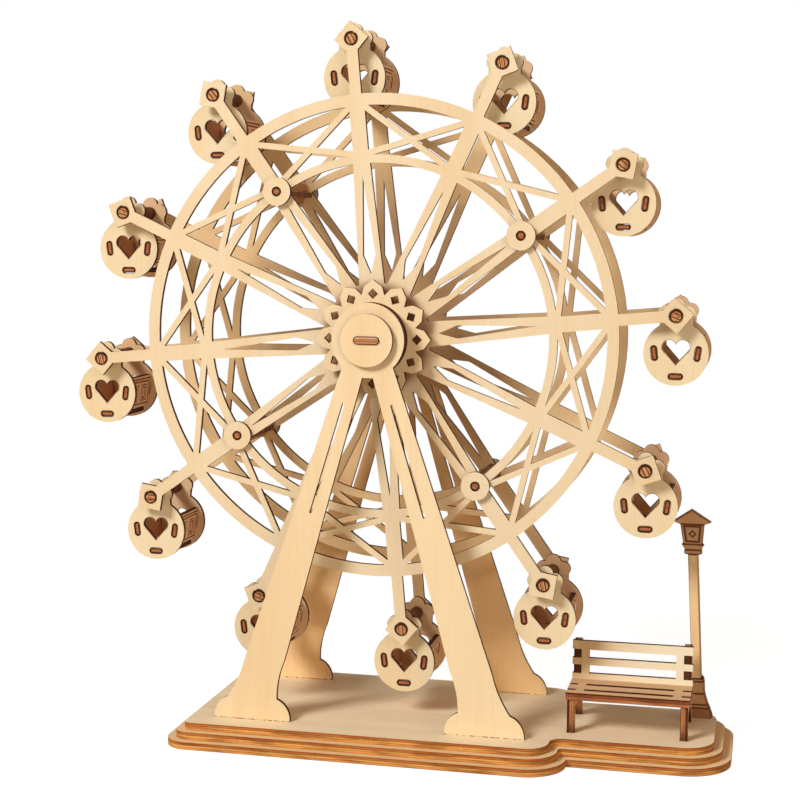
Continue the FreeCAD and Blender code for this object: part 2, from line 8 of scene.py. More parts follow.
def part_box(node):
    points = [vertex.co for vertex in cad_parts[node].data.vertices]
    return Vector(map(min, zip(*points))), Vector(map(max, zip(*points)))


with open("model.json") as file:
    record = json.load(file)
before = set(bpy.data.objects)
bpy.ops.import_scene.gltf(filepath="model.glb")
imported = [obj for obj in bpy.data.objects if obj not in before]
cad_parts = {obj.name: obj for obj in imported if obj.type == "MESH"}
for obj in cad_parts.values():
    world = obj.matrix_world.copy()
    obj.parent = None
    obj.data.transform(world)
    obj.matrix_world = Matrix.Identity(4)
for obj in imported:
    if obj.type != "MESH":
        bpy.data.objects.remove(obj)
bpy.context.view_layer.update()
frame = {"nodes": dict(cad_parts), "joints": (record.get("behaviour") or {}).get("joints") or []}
nodes = frame["nodes"]
bpy.ops.object.select_all(action="DESELECT")
print("frame loaded:", len(nodes), "wooden pieces")

# Places that come with the frame, in millimetres
places = {joint["name"]: [1000 * value for value in joint["pos_m"]] for joint in frame["joints"]}
hubPlace = places["wheel_spin"]
gondolaPlaces = [places["gondola_%02d_swing" % number] for number in range(1, 13)]


def boxMiddle(name):
    low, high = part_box(name)
    return [500 * (low[k] + high[k]) for k in range(3)]


# Small helpers for materials; lengths inside a material are in millimetres

def addNode(tree, kind, **settings):
    node = tree.nodes.new(kind)
    for key, value in settings.items():
        setattr(node, key, value)
    return node


def feed(tree, socket, value):
    if isinstance(value, bpy.types.NodeSocket):
        tree.links.new(value, socket)
    else:
        socket.default_value = value


def calc(tree, operation, *values):
    node = addNode(tree, "ShaderNodeMath", operation=operation)
    for socket, value in zip(node.inputs, values):
        feed(tree, socket, value)
    return node.outputs[0]


def chain(tree, operation, total, *others):
    for value in others:
        total = calc(tree, operation, total, value)
    return total


def plus(tree, first, second):
    return calc(tree, "ADD", first, second)


def minus(tree, first, second):
    return calc(tree, "SUBTRACT", first, second)


def product(tree, *values):
    return chain(tree, "MULTIPLY", *values)


def highest(tree, *values):
    return chain(tree, "MAXIMUM", *values)


def lowest(tree, *values):
    return chain(tree, "MINIMUM", *values)


def opposite(tree, value):
    return minus(tree, 1.0, value)


def absolute(tree, value):
    return calc(tree, "ABSOLUTE", value)


def distance(tree, first, second):
    squares = [product(tree, value, value) for value in (first, second)]
    return calc(tree, "SQRT", plus(tree, *squares))


def softStep(tree, value, low, high):
    node = addNode(tree, "ShaderNodeMapRange", interpolation_type="SMOOTHSTEP")
    for socket, part in zip(node.inputs, (value, low, high, 0.0, 1.0)):
        feed(tree, socket, part)
    return node.outputs[0]


def fadeOut(tree, value, full, gone, amount):
    # the whole amount below the first level, nothing above the second
    return product(tree, opposite(tree, softStep(tree, value, full, gone)), amount)


def facing(tree, way, start=0.55):
    # one where a surface looks along this way, from either side
    return softStep(tree, absolute(tree, way), start, start + 0.2)


def blendColours(tree, factor, first, second):
    node = addNode(tree, "ShaderNodeMix", data_type="RGBA", blend_type="MIX")
    for index, value in ((0, factor), (6, first), (7, second)):
        feed(tree, node.inputs[index], value)
    return node.outputs[2]


def colourSteps(tree, value, steps):
    # each step is a place from 0 to 1, then red, green and blue
    node = addNode(tree, "ShaderNodeValToRGB")
    elements = node.color_ramp.elements
    while len(elements) < len(steps):
        elements.new(0.5)
    for element, (position, *colour) in zip(elements, steps):
        element.position = position
        element.color = (*colour, 1)
    feed(tree, node.inputs[0], value)
    return node.outputs[0]


def joinXyz(tree, parts):
    node = addNode(tree, "ShaderNodeCombineXYZ")
    for socket, part in zip(node.inputs, parts):
        feed(tree, socket, part)
    return node.outputs[0]


def splitXyz(tree, vector):
    node = addNode(tree, "ShaderNodeSeparateXYZ")
    feed(tree, node.inputs[0], vector)
    return node.outputs


def noise(tree, vector, scale, detail=3.0, roughness=0.55, variety=0.5):
    stretched = addNode(tree, "ShaderNodeVectorMath", operation="MULTIPLY")
    feed(tree, stretched.inputs[0], vector)
    stretched.inputs[1].default_value = scale
    node = addNode(tree, "ShaderNodeTexNoise", noise_dimensions="4D")
    feed(tree, node.inputs["Vector"], stretched.outputs[0])
    node.inputs["W"].default_value = variety
    node.inputs["Scale"].default_value = 1.0
    node.inputs["Detail"].default_value = detail
    node.inputs["Roughness"].default_value = roughness
    return node.outputs[0]


def centred(tree, centre, turn):
    # millimetres from the centre, and the surface's own direction, both in a turned frame
    rotation = (0, math.radians(turn), 0)
    coords = addNode(tree, "ShaderNodeTexCoord")
    place = addNode(tree, "ShaderNodeMapping", vector_type="TEXTURE")
    place.inputs["Location"].default_value = [value / 1000 for value in centre]
    place.inputs["Rotation"].default_value = rotation
    place.inputs["Scale"].default_value = (0.001, 0.001, 0.001)
    feed(tree, place.inputs["Vector"], coords.outputs["Object"])
    direction = addNode(tree, "ShaderNodeMapping", vector_type="TEXTURE")
    direction.inputs["Rotation"].default_value = rotation
    feed(tree, direction.inputs["Vector"], coords.outputs["Normal"])
    return place.outputs[0], splitXyz(tree, place.outputs[0]), splitXyz(tree, direction.outputs[0])


def boxReach(tree, u, v, middle, half):
    # below zero inside the rectangle, above zero outside it
    sides = [minus(tree, absolute(tree, minus(tree, value, centre)), reach)
             for value, centre, reach in zip((u, v), middle, half)]
    return highest(tree, *sides)


def slotReach(tree, u, v, half):
    # below zero inside a slot with round ends that stands along v
    beyond = minus(tree, absolute(tree, v), half[1] - half[0])
    return minus(tree, distance(tree, u, highest(tree, beyond, 0.0)), half[0])


def thinLine(tree, away, width, blur=0.12):
    return opposite(tree, softStep(tree, absolute(tree, away), width / 2, width / 2 + blur))


def boxLine(tree, u, v, middle, half, width):
    return thinLine(tree, boxReach(tree, u, v, middle, half), width)


def levelLine(tree, value, level, width):
    return thinLine(tree, minus(tree, value, level), width)


def newTree(owner):
    owner.use_nodes = True
    owner.node_tree.nodes.clear()
    return owner.node_tree


def shaderOf(tree, kind, **values):
    node = addNode(tree, kind)
    for key, value in values.items():
        node.inputs[key].default_value = value
    return node.outputs[0]


def finishTree(tree, kind, surface):
    feed(tree, addNode(tree, kind).inputs["Surface"], surface)


# Plywood

plywood = {
    "pale": (0.885, 0.745, 0.510, 1),
    "warm": (0.840, 0.660, 0.410, 1),
    "grainTone": (0.740, 0.500, 0.270, 1),
    "grainAmount": 0.25,
    "grainWay": 2,            # 0, 1 or 2: the grain runs along x, y or z
    "sheetWay": 1,            # the direction through the sheet
    "mirrored": True,         # front and rear sheets are mirror images
    "sheetStart": 0.0,
    "sheetPitch": 2.0,
    "centre": (0, 0, 0),
    "turn": 0.0,
    "variety": 0.5,           # another value gives other grain
    "engrave": None,          # a function that returns the mask of engraved lines
    "faceTint": None,         # a function that changes the face's colour
    "faceMask": None,         # a function that tells the sheets' faces from their cut edges
    "endTint": None,          # a function that colours tenon ends over everything else
    "engraved": (0.170, 0.066, 0.029, 1),
    "engraveDepth": 1.5,
    "edge": [                 # the plies through one sheet
        (0.00, 0.050, 0.013, 0.005), (0.06, 0.150, 0.044, 0.014), (0.32, 0.180, 0.054, 0.017),
        (0.37, 0.042, 0.011, 0.004), (0.62, 0.130, 0.037, 0.012), (0.68, 0.038, 0.010, 0.004),
        (1.00, 0.095, 0.027, 0.009)],
    "scorch": (0.032, 0.008, 0.003, 1),
    "scorchAmount": 0.60,
    "streakAlong": 0.16,      # streaks per millimetre along the cut, and through the sheet
    "streakThrough": 0.55,
    "roughness": 0.64,
    "roughnessSpread": 0.16,
    "specular": 0.08,
    "bumpStrength": 0.35,
    "bumpDepth": 0.00012,     # in metres
}
woodPatterns = {
    "stretch": 0.035,             # scale along the grain, as a share of the scale across it
    "drift": (0.05, 2.0, 0.5),    # scale across the grain, per millimetre, then detail and roughness
    "driftSteps": (0.35, 0.68),   # pale below, warm above
    "grain": (1.15, 4.0, 0.6),
    "grainSteps": (0.46, 0.76),
    "grainRelief": 0.6,
    "pores": (5.5, 2.0, 0.5),
    "poreSteps": (0.55, 0.80),
    "poreRelief": 0.4,
    "burn": (3.0, 0.6),
    "burnSteps": (0.40, 0.66),
    "laserMarks": (4.2, 0.08),    # per millimetre along the cut, and through the sheet
    "laserMarkDetail": (1.0, 0.5),
    "laserMarkSteps": (0.48, 0.70),
    "laserMarkAmount": 0.16,
}
endGrain = {
    "wood": (0.290, 0.098, 0.040, 1),
    "light": (0.470, 0.195, 0.088, 1),
    "burnt": (0.060, 0.016, 0.007, 1),
    "fibres": (3.0, 0.6),     # detail and roughness
    "steps": (0.38, 0.64),
    "rimBlur": 0.22,
}
oneTonePitch = 60.0           # so wide that a cut edge shows no plies


def oneWay(way, there, elsewhere):
    return [there if k == way else elsewhere for k in range(3)]


def burntEnd(tree, place, away, fibreScale, rim=0.30):
    # end of a tenon: open end grain with a burnt rim; away is below zero inside
    fibres = noise(tree, place, fibreScale, *endGrain["fibres"])
    wood = blendColours(tree, softStep(tree, fibres, *endGrain["steps"]), endGrain["wood"], endGrain["light"])
    burnt = softStep(tree, away, -rim - endGrain["rimBlur"], -rim)
    return blendColours(tree, burnt, wood, endGrain["burnt"])


def sheetFace(tree, look, place, parts, ways):
    # slow drifts of tone, long soft grain and fine pores; gives the colour, the relief and the grain
    patterns = []
    for order, kind in enumerate(("drift", "grain", "pores")):
        scale, detail, roughness = woodPatterns[kind]
        scales = oneWay(look["grainWay"], scale * woodPatterns["stretch"], scale)
        patterns.append(noise(tree, place, scales, detail, roughness, look["variety"] + 3 * order))
    drift, grain, pores = patterns
    face = blendColours(tree, softStep(tree, drift, *woodPatterns["driftSteps"]), look["pale"], look["warm"])
    lines = product(tree, softStep(tree, grain, *woodPatterns["grainSteps"]), look["grainAmount"])
    face = blendColours(tree, lines, face, look["grainTone"])
    fine = product(tree, softStep(tree, pores, *woodPatterns["poreSteps"]), 0.5 * look["grainAmount"])
    face = blendColours(tree, fine, face, look["grainTone"])
    if look["faceTint"]:
        face = look["faceTint"](tree, face, parts, ways)
    relief = plus(tree, product(tree, grain, woodPatterns["grainRelief"]),
                  product(tree, pores, woodPatterns["poreRelief"]))
    if look["engrave"]:
        marks = look["engrave"](tree, parts, ways)
        face = blendColours(tree, marks, face, look["engraved"])
        relief = minus(tree, relief, product(tree, marks, look["engraveDepth"]))
    return face, relief, grain


def cutEdge(tree, look, place, parts):
    # the plies show as stripes, scorched unevenly by the laser, with its fine upright marks
    way = look["sheetWay"]
    through = absolute(tree, parts[way]) if look["mirrored"] else parts[way]
    sheets = calc(tree, "DIVIDE", minus(tree, through, look["sheetStart"]), look["sheetPitch"])
    edge = colourSteps(tree, calc(tree, "FRACT", sheets), look["edge"])
    streaks = oneWay(way, look["streakThrough"], look["streakAlong"])
    burn = noise(tree, place, streaks, *woodPatterns["burn"], look["variety"] + 9)
    burnAmount = product(tree, softStep(tree, burn, *woodPatterns["burnSteps"]), look["scorchAmount"])
    edge = blendColours(tree, burnAmount, edge, look["scorch"])
    markAlong, markThrough = woodPatterns["laserMarks"]
    upright = oneWay(way, markThrough, markAlong)
    laserMarks = noise(tree, place, upright, *woodPatterns["laserMarkDetail"], look["variety"] + 12)
    marks = softStep(tree, laserMarks, *woodPatterns["laserMarkSteps"])
    return blendColours(tree, product(tree, marks, woodPatterns["laserMarkAmount"]), edge, look["scorch"])


def makePlywood(name, **changes):
    look = dict(plywood, **changes)
    material = bpy.data.materials.new(name)
    tree = newTree(material)
    place, parts, ways = centred(tree, look["centre"], look["turn"])
    face, relief, grain = sheetFace(tree, look, place, parts, ways)
    edge = cutEdge(tree, look, place, parts)
    isFace = look["faceMask"](tree, parts, ways) if look["faceMask"] else facing(tree, ways[look["sheetWay"]])
    colour = blendColours(tree, isFace, edge, face)
    if look["endTint"]:
        colour = look["endTint"](tree, colour, place, parts, ways)

    shader = addNode(tree, "ShaderNodeBsdfPrincipled")
    feed(tree, shader.inputs["Base Color"], colour)
    shader.inputs["Specular IOR Level"].default_value = look["specular"]
    rough = plus(tree, look["roughness"], product(tree, grain, look["roughnessSpread"]))
    feed(tree, shader.inputs["Roughness"], rough)
    bump = addNode(tree, "ShaderNodeBump")
    bump.inputs["Strength"].default_value = look["bumpStrength"]
    bump.inputs["Distance"].default_value = look["bumpDepth"]
    feed(tree, bump.inputs["Height"], relief)
    feed(tree, shader.inputs["Normal"], bump.outputs[0])
    finishTree(tree, "ShaderNodeOutputMaterial", shader.outputs[0])
    return material


def dress(material, *names):
    for name in names:
        slots = nodes[name].data.materials
        slots.clear()
        slots.append(material)


# Base

baseLook = {
    "varietyStep": 1.7,
    "deck": {"pale": (0.915, 0.800, 0.580, 1), "warm": (0.850, 0.695, 0.470, 1)},
    "ledge": {"pale": (0.850, 0.635, 0.365, 1), "warm": (0.780, 0.545, 0.285, 1)},
    "board": {                # what the three layers share
        "sheetWay": 2,
        "mirrored": False,
        "sheetPitch": 3.0,
        "grainWay": 0,
        "edge": [
            (0.00, 0.280, 0.080, 0.018), (0.07, 0.740, 0.330, 0.080), (0.28, 0.800, 0.400, 0.105),
            (0.33, 0.340, 0.106, 0.026), (0.40, 0.860, 0.490, 0.140), (0.56, 0.790, 0.400, 0.108),
            (0.61, 0.220, 0.060, 0.016), (0.70, 0.590, 0.212, 0.056), (0.84, 0.480, 0.162, 0.044),
            (1.00, 0.280, 0.082, 0.022)],
        "scorch": (0.190, 0.050, 0.013, 1),
        "scorchAmount": 0.66,
        "streakAlong": 0.065,
        "streakThrough": 0.75,
    },
}
baseLayers = {"base_deck": "deck", "base_middle_layer": "ledge", "base_bottom_layer": "ledge"}
for level, (baseName, tones) in enumerate(baseLayers.items()):
    variety = 0.5 + baseLook["varietyStep"] * level
    board = makePlywood(baseName + "Plywood", variety=variety, **baseLook[tones], **baseLook["board"])
    dress(board, baseName)
print("base dressed")

# A-frames, wheel frames and hub: 2 mm sheets stacked from front to back

frameTones = {"pale": (0.890, 0.735, 0.485, 1), "warm": (0.850, 0.655, 0.395, 1)}
# the rear A-frame and rear wheel frame get a deeper, more orange tone: painted warm shade, for they stand
# behind the front sheets
rearShadeTones = {"pale": (0.975, 0.700, 0.390, 1), "warm": (0.920, 0.620, 0.315, 1)}
wheelTones = {"pale": (0.835, 0.710, 0.500, 1), "warm": (0.805, 0.650, 0.420, 1)}
rearWheelShadeTones = {"pale": (0.840, 0.635, 0.375, 1), "warm": (0.800, 0.570, 0.310, 1)}
# painted shade round the hub, where the flowers, the hub and the front wheel frame keep the light off
hubShade = {
    "colour": (0.280, 0.114, 0.050, 1),
    "outerFaces": (19.0, 24.5, 0.88),     # full inside, gone outside, amount
    "innerFaces": (24.0, 78.0, 0.57),
}
inwardSteps = (4.0, 6.0)      # from the middle of the wheel, in millimetres
footMark = {
    "level": 9.12,            # just above the deck
    "width": 0.20,
    "breaks": 0.9,            # per millimetre
    "breakSteps": (0.46, 0.54),
}


def inwardFace(tree, parts, ways):
    # one on faces that look towards the middle of the wheel
    return softStep(tree, product(tree, parts[1], ways[1], -1.0), *inwardSteps)


def paintHubShade(tree, face, parts, ways):
    # painted shade on the wheel frames round the hub: under the flowers, and on the inward faces that the
    # front frame and hub shade
    reach = distance(tree, parts[0], parts[2])
    outer, inner = [fadeOut(tree, reach, *hubShade[key]) for key in ("outerFaces", "innerFaces")]
    inward = inwardFace(tree, parts, ways)
    amount = plus(tree, product(tree, opposite(tree, inward), outer), product(tree, inward, inner))
    return blendColours(tree, amount, face, hubShade["colour"])


def footLine(tree, parts, ways):
    # the burnt edge of the feet shows here and there where they stand on the deck
    line = levelLine(tree, parts[2], footMark["level"] - hubPlace[2], footMark["width"])
    patches = noise(tree, joinXyz(tree, parts), [footMark["breaks"]] * 3)
    return product(tree, line, softStep(tree, patches, *footMark["breakSteps"]))


feet = {"engrave": footLine}
# painted shade round the hub, for both wheel frames
shadeRoundHub = {"faceTint": paintHubShade}
stacks = {                    # pieces, where their first sheet starts, grain, tones and extras
    "frontFrameSheet": (["front_a_frame"], 31.0, 0.5, frameTones, feet),
    "rearFrameSheet": (["rear_a_frame"], 31.0, 1.5, rearShadeTones, feet),
    "bearingSheets": (["bearing_rings"], 31.0, 2.5, frameTones, {}),
    "frontWheelSheet": (["front_wheel_frame"], 16.7, 3.5, wheelTones, shadeRoundHub),
    "rearWheelSheet": (["rear_wheel_frame"], 16.7, 4.5, rearWheelShadeTones, shadeRoundHub),
    "washerSheets": (["spacer_washers"], 16.7, 5.5, wheelTones, {}),
    "flowerSheets": (["front_flower", "rear_flower"], 22.7, 6.5, frameTones, {}),
    "hubSheets": (["hub_discs", "hub_bushes"], 22.7, 7.5, frameTones, {}),
    "capSheets": (["hub_caps"], 33.3, 8.5, frameTones, {}),
}
stackScorch = 0.85
for stackName, (members, start, variety, tones, extras) in stacks.items():
    dress(makePlywood(stackName, sheetStart=start, centre=hubPlace, variety=variety, scorchAmount=stackScorch,
                      **tones, **extras), *members)

# Axle

axleLook = {
    "halfRun": 3.7,           # from the middle to where the round edge starts
    "radius": 1.5,
    "rim": (0.42, 0.12),      # the burnt rim starts and is full this far inside
    "fibres": (0.5, 0.4, 2.6),
    "uneven": 0.24,
    "layers": [
        (0.00, 0.36, 0.150, 0.065), (0.22, 0.62, 0.320, 0.165), (0.36, 0.24, 0.090, 0.036),
        (0.52, 0.56, 0.265, 0.125), (0.66, 0.36, 0.145, 0.062), (0.80, 0.80, 0.510, 0.315),
        (1.00, 0.70, 0.410, 0.230)],
}


def axleEnds(tree, face, parts, ways):
    # the layers lie flat, with a burnt rim that follows the round edges; they are palest near the top, where
    # they carry a painted highlight
    radius = axleLook["radius"]
    beyond = highest(tree, minus(tree, absolute(tree, parts[0]), axleLook["halfRun"]), 0.0)
    rimStarts, rimFull = [radius - depth for depth in axleLook["rim"]]
    rim = softStep(tree, distance(tree, beyond, parts[2]), rimStarts, rimFull)
    height = calc(tree, "MULTIPLY_ADD", parts[2], 0.5 / radius, 0.5)
    fibres = noise(tree, joinXyz(tree, parts), axleLook["fibres"])
    uneven = calc(tree, "MULTIPLY_ADD", fibres, axleLook["uneven"], -axleLook["uneven"] / 2)
    wood = colourSteps(tree, plus(tree, height, uneven), axleLook["layers"])
    return blendColours(tree, rim, wood, endGrain["burnt"])


dress(makePlywood("axlePlywood", centre=hubPlace, faceTint=axleEnds), "axle")

# Spacers between the wheel frames

spacerLook = {
    "turn": 54.7,             # from the upright to the first spacer, in degrees
    "circle": 70.75,
    "stripFace": (3.90, 3.96),    # the strips' faces end between these, just short of their narrow edges
    "tenonHalfWidth": 1.6,
    "fibres": (1.4, 0.3, 1.4),
    # the strips' tones are dark: painted shade, for they sit between the two wheel frames
    "wood": {
        "pale": (0.66, 0.39, 0.19, 1),
        "warm": (0.56, 0.30, 0.135, 1),
        "edge": [(0.0, 0.26, 0.10, 0.04), (1.0, 0.20, 0.075, 0.03)],
        "sheetPitch": oneTonePitch,
        "grainWay": 1,
    },
}


def spacerPlace(tree, parts):
    # the four spacers lie on the two axes of the turned frame, their strips at 45 degrees to it
    sides = [absolute(tree, parts[0]), absolute(tree, parts[2])]
    outward = minus(tree, highest(tree, *sides), spacerLook["circle"])
    sideways = lowest(tree, *sides)
    half = math.sqrt(0.5)
    return (product(tree, plus(tree, outward, sideways), half),
            product(tree, minus(tree, outward, sideways), half))


def spacerFaces(tree, parts, ways):
    reach = highest(tree, *[absolute(tree, value) for value in spacerPlace(tree, parts)])
    return opposite(tree, softStep(tree, reach, *spacerLook["stripFace"]))


def spacerEnds(tree, colour, place, parts, ways):
    away = minus(tree, distance(tree, *spacerPlace(tree, parts)), spacerLook["tenonHalfWidth"])
    tenon = burntEnd(tree, place, away, spacerLook["fibres"])
    return blendColours(tree, facing(tree, ways[1], 0.6), colour, tenon)


dress(makePlywood("spacerPlywood", centre=hubPlace, turn=spacerLook["turn"], faceMask=spacerFaces,
                  endTint=spacerEnds, **spacerLook["wood"]), "spacer_strips")
print("wheel and frames dressed")

# Gondolas

gondolaLook = {
    "drop": 14.8,             # from the pin to the middle of the cabin
    "varietyStep": 2.3,
    "plate": {
        "pale": (0.845, 0.735, 0.505, 1),
        "warm": (0.815, 0.665, 0.420, 1),
        "sheetStart": 11.0,
        "scorchAmount": 0.80,
    },
    "plateFront": (12.90, 12.95),     # tenon ends lie past this, from the middle of the cabin
    # painted shade on the plates' inner faces, inside the cabin
    "innerShadeTone": (0.640, 0.330, 0.160, 1),
    "innerShadeAmount": 0.50,
    "rimTone": (0.110, 0.036, 0.016, 1),
    "slotRim": (0.32, 0.56, 0.86),    # how far the laser browned the plates round the tenons
    "heartRim": (0.10, 0.42, 0.60),   # and round the heart: full inside, gone outside, amount
    "heartLobe": (2.593, 2.432, 2.768),         # middle and radius of its right lobe
    "heartSide": (0.750, -0.661, -4.4, 1.5),    # outward way of its right side, its point and the side's top
    "wall": {
        "pale": (0.980, 0.650, 0.415, 1),
        "warm": (0.940, 0.570, 0.340, 1),
        "sheetStart": 7.3,
        "sheetWay": 0,
    },
    "outerSide": (4.0, 5.0),          # sideways place times direction is above this on outer faces
    "innerSide": (-5.0, -4.0),        # and below this on inner faces
    "wallOffset": 8.3,
    "wallTilt": 7.0,                  # in degrees
    "wallTenon": (1.0, 2.7),
    "floorLevel": -8.95,
    "floorDepth": (1.05, 1.15),       # from its middle layer to just past its faces
    "floorWidth": (6.5, 6.6),         # from the middle of the cabin
    "floorTenon": (2.6, 1.0),
    "tenonRim": 0.36,
    "tenonFibres": (1.3, 0.3, 1.3),
    "cabinShadeTone": (0.560, 0.250, 0.120, 1),
    "cabinShadeAmount": 0.70,
    "frameLine": ((0, -1.2), (9.7, 4.7), 0.45),       # middle, half width and height, line width
    "sillLine": (4.7, 0.45),
    "panelMiddles": ((-4.6, -1.3), (4.6, -1.3)),
    "panelLines": (((2.7, 3.3), 0.32), ((1.2, 2.3), 0.55)),
}
pinLook = {
    "wood": (0.320, 0.120, 0.045, 1),
    "light": (0.680, 0.365, 0.160, 1),
    "burnt": (0.050, 0.015, 0.007, 1),
    "edge": [(0.0, 0.22, 0.080, 0.030), (1.0, 0.27, 0.105, 0.042)],
    "steps": (0.36, 0.62),
    "fibres": (1.6, 0.2, 0.5),
    "seams": (-0.85, 0.85),
    "seamWidth": 0.26,
    "middle": (0.16, -0.24),  # of the unburnt part of its end, set off-centre so that the rim also paints the shadow in the pin hole
    "rim": (1.75, 2.10),      # the burnt rim starts, and is full
    "turns": (60, 80, 35, 20, 60, 76, 86, 20, 2, 75, 15, 50),   # how each gondola's pin lies, in degrees
}


def wallPlace(tree, parts):
    # across and up one side wall, which leans outwards; both walls share it
    angle = math.radians(gondolaLook["wallTilt"])
    slope, rise = math.sin(angle), math.cos(angle)
    aside = minus(tree, absolute(tree, parts[0]), gondolaLook["wallOffset"])
    across = minus(tree, product(tree, aside, rise), product(tree, parts[2], slope))
    up = plus(tree, product(tree, aside, slope), product(tree, parts[2], rise))
    return across, up


def wallPanels(tree, parts, ways):
    # a frame and two tall panels burnt into the outer face of each side wall, with a sill line above
    lines = [boxLine(tree, parts[1], parts[2], *gondolaLook["frameLine"]),
             levelLine(tree, parts[2], *gondolaLook["sillLine"])]
    for middle in gondolaLook["panelMiddles"]:
        for half, width in gondolaLook["panelLines"]:
            lines.append(boxLine(tree, parts[1], parts[2], middle, half, width))
    outward = softStep(tree, product(tree, parts[0], ways[0]), *gondolaLook["outerSide"])
    return product(tree, highest(tree, *lines), outward)


def shadedCabin(tree, face, parts, ways):
    # painted shade: the walls are browner inside the cabin, where little light gets in
    side = product(tree, parts[0], ways[0])
    inward = fadeOut(tree, side, *gondolaLook["innerSide"], gondolaLook["cabinShadeAmount"])
    return blendColours(tree, inward, face, gondolaLook["cabinShadeTone"])


def cabinFaces(tree, parts, ways):
    # the walls' faces look sideways and the floor's up and down; all the rest is cut edge
    level = minus(tree, parts[2], gondolaLook["floorLevel"])
    near = opposite(tree, softStep(tree, absolute(tree, level), *gondolaLook["floorDepth"]))
    inside = opposite(tree, softStep(tree, absolute(tree, parts[0]), *gondolaLook["floorWidth"]))
    onFloor = product(tree, near, inside)
    return highest(tree, product(tree, facing(tree, ways[0]), opposite(tree, onFloor)),
                   product(tree, facing(tree, ways[2]), onFloor))


def tenonEnds(tree, colour, place, parts, ways):
    across, up = wallPlace(tree, parts)
    wallEnd = boxReach(tree, across, up, (0, 0), gondolaLook["wallTenon"])
    floorEnd = boxReach(tree, parts[0], parts[2], (0, gondolaLook["floorLevel"]), gondolaLook["floorTenon"])
    away = lowest(tree, wallEnd, floorEnd)
    tenon = burntEnd(tree, place, away, gondolaLook["tenonFibres"], gondolaLook["tenonRim"])
    beyond = softStep(tree, absolute(tree, parts[1]), *gondolaLook["plateFront"])
    return blendColours(tree, product(tree, beyond, facing(tree, ways[1], 0.6)), colour, tenon)


def heartReach(tree, parts):
    # below zero inside the heart; both halves share it
    aside = absolute(tree, parts[0])
    lobeX, lobeZ, radius = gondolaLook["heartLobe"]
    lobe = minus(tree, distance(tree, minus(tree, aside, lobeX), minus(tree, parts[2], lobeZ)), radius)
    outX, outZ, point, top = gondolaLook["heartSide"]
    side = plus(tree, product(tree, aside, outX), product(tree, minus(tree, parts[2], point), outZ))
    return lowest(tree, lobe, highest(tree, side, minus(tree, parts[2], top)))


def plateRims(tree, face, parts, ways):
    # the plates are burnt round their slots and heart, and browner on their inner faces with painted shade
    # from inside the cabin
    inward = product(tree, inwardFace(tree, parts, ways), gondolaLook["innerShadeAmount"])
    face = blendColours(tree, inward, face, gondolaLook["innerShadeTone"])
    below = minus(tree, parts[2], gondolaLook["floorLevel"])
    halfWidth, halfHeight = gondolaLook["floorTenon"]
    slots = lowest(tree, slotReach(tree, *wallPlace(tree, parts), gondolaLook["wallTenon"]),
                   slotReach(tree, below, parts[0], (halfHeight, halfWidth)))
    rim = highest(tree, fadeOut(tree, slots, *gondolaLook["slotRim"]),
                  fadeOut(tree, heartReach(tree, parts), *gondolaLook["heartRim"]))
    return blendColours(tree, rim, face, gondolaLook["rimTone"])


def pinEnds(turn):
    def tint(tree, face, parts, ways):
        # three strips seen end on, lying at this pin's own angle, burnt all round; the rim is widest at the
        # upper left, where it is painted shadow in the pin hole
        angle = math.radians(turn)
        across = plus(tree, product(tree, parts[0], math.sin(angle)),
                      product(tree, parts[2], math.cos(angle)))
        seams = [levelLine(tree, across, level, pinLook["seamWidth"]) for level in pinLook["seams"]]
        middleX, middleZ = pinLook["middle"]
        reach = distance(tree, minus(tree, parts[0], middleX), minus(tree, parts[2], middleZ))
        burnt = highest(tree, *seams, softStep(tree, reach, *pinLook["rim"]))
        fibrePlace = joinXyz(tree, (across, parts[1], parts[0]))
        fibres = noise(tree, fibrePlace, pinLook["fibres"], *endGrain["fibres"], 0.5 + turn / 20)
        light = softStep(tree, fibres, *pinLook["steps"])
        wood = blendColours(tree, light, pinLook["wood"], pinLook["light"])
        return blendColours(tree, burnt, wood, pinLook["burnt"])
    return tint


for number, (pivot, turn) in enumerate(zip(gondolaPlaces, pinLook["turns"]), start=1):
    middle = (pivot[0], 0, pivot[2] - gondolaLook["drop"])
    prefix = "gondola_%02d_" % number
    variety = 0.5 + gondolaLook["varietyStep"] * number
    dress(makePlywood(prefix + "platePlywood", centre=middle, variety=variety, faceTint=plateRims,
                      **gondolaLook["plate"]), prefix + "end_plates")
    dress(makePlywood(prefix + "wallPlywood", centre=middle, variety=variety, faceTint=shadedCabin,
                      engrave=wallPanels, faceMask=cabinFaces, endTint=tenonEnds,
                      **gondolaLook["wall"]), prefix + "walls_and_floor")
    dress(makePlywood(prefix + "pinPlywood", centre=pivot, variety=variety, sheetPitch=oneTonePitch,
                      edge=pinLook["edge"], faceTint=pinEnds(turn)), prefix + "pin")
print("gondolas dressed")

# Crank behind the wheel

crankLook = {
    "arm": {"sheetStart": 35.3, "variety": 9.5},      # from the middle of the wheel
    "knob": {"sheetStart": -6.0, "variety": 10.5},    # from the middle of the knob
    "pinTurn": 15,
}
crankPlace = places["crank_knob_spin"]
crankPinEnds = pinEnds(crankLook["pinTurn"])
dress(makePlywood("crankArmPlywood", centre=hubPlace, mirrored=False, **crankLook["arm"]), "crank_arm")
dress(makePlywood("crankPinPlywood", centre=crankPlace, mirrored=False, faceTint=crankPinEnds), "crank_pin")
dress(makePlywood("crankKnobPlywood", centre=crankPlace, mirrored=False, **crankLook["knob"]), "crank_knob")

# Bench

